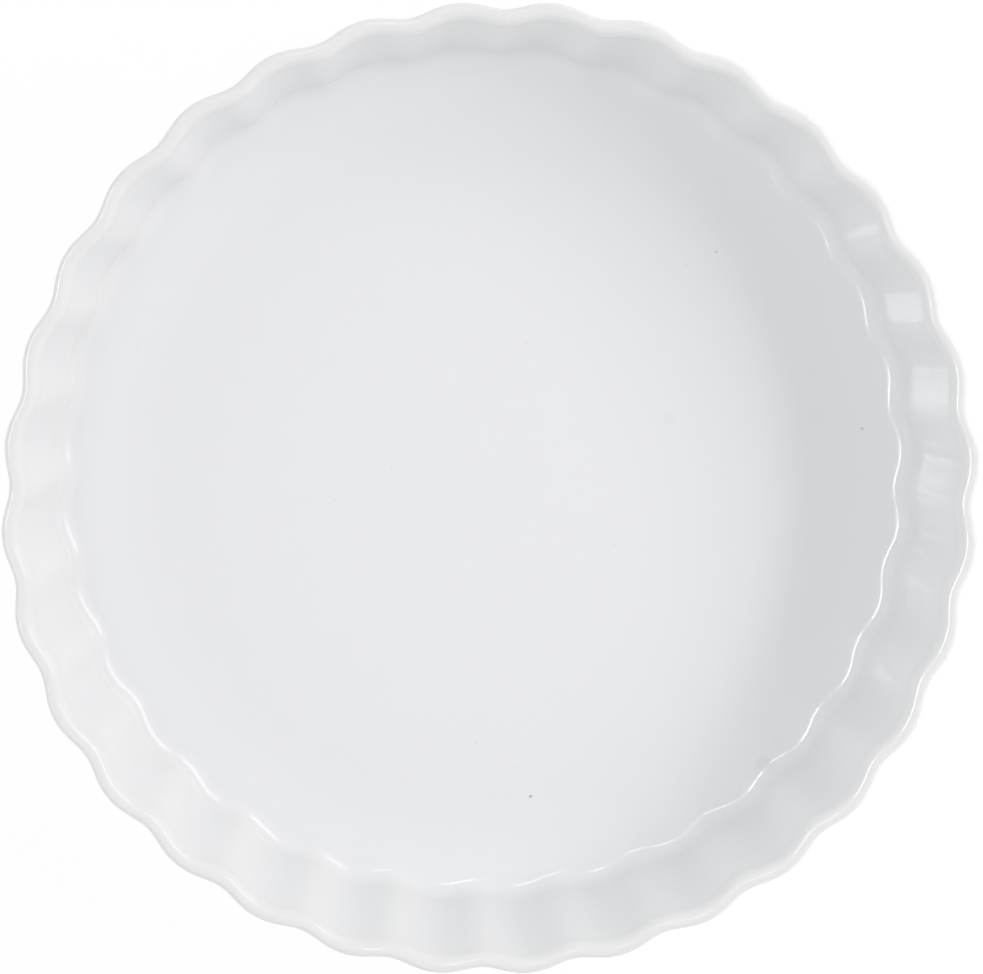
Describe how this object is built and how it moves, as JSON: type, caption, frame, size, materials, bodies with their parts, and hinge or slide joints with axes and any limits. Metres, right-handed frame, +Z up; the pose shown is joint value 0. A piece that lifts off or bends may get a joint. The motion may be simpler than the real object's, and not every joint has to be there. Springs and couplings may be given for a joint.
{
  "type": "fluted baking dish",
  "caption": "Round open porcelain baking dish with a flared fluted wall, a rounded rim and a flat floor on a low foot ring, for baking and serving tarts and quiches.",
  "frame": {"origin": "centre of the dish, on the plane that the foot ring stands on", "axes": "+Z up along the dish's axis, out of its open mouth; +X through the crest of one flute"},
  "size_m": [0.28, 0.28, 0.05],
  "materials": {
    "white_glaze": "hard porcelain under a clear, glossy white glaze",
    "bare_porcelain": "unglazed fired porcelain, ground flat, matte"
  },
  "bodies": {
    "root": {"foot_ring": "bare_porcelain", "base_plate": "white_glaze", "fluted_wall": "white_glaze", "rounded_rim": "white_glaze"}
  },
  "joints": []
}
